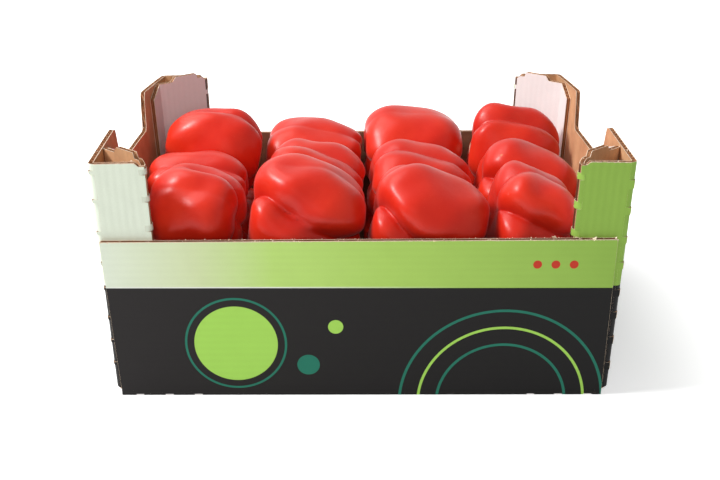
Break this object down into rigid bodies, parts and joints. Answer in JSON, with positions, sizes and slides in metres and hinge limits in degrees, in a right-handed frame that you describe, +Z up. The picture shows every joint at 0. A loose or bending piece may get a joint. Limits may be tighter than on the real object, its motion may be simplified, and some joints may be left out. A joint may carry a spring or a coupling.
{
  "type": "pepper carton",
  "caption": "Open tray of folded corrugated board with triangular corner posts and dipped end walls, printed green over black and packed with red bell peppers.",
  "frame": {"origin": "under the middle of the base, on the surface the carton stands on", "axes": "+X to the right along the front wall, +Y from the front wall to the back wall, +Z up"},
  "size_m": [0.4066, 0.3, 0.2],
  "materials": {
    "corrugated_board": "corrugated board, kraft brown inside, white outside printed lime green over near black, raw brown edges",
    "pepper_skin": "smooth waxy red skin, with a cut green stem"
  },
  "bodies": {
    "root": {"carton": "corrugated_board", "pepper_top_front_1": "pepper_skin", "pepper_top_front_2": "pepper_skin", "pepper_top_front_3": "pepper_skin", "pepper_top_front_4": "pepper_skin", "pepper_top_middle_1": "pepper_skin", "pepper_top_middle_2": "pepper_skin", "pepper_top_middle_3": "pepper_skin", "pepper_top_middle_4": "pepper_skin", "pepper_top_back_1": "pepper_skin", "pepper_top_back_2": "pepper_skin", "pepper_top_back_3": "pepper_skin", "pepper_top_back_4": "pepper_skin", "pepper_lower_front_1": "pepper_skin", "pepper_lower_front_2": "pepper_skin", "pepper_lower_front_3": "pepper_skin", "pepper_lower_front_4": "pepper_skin", "pepper_lower_middle_1": "pepper_skin", "pepper_lower_middle_2": "pepper_skin", "pepper_lower_middle_3": "pepper_skin", "pepper_lower_middle_4": "pepper_skin", "pepper_lower_back_1": "pepper_skin", "pepper_lower_back_2": "pepper_skin", "pepper_lower_back_3": "pepper_skin", "pepper_lower_back_4": "pepper_skin"}
  },
  "joints": []
}
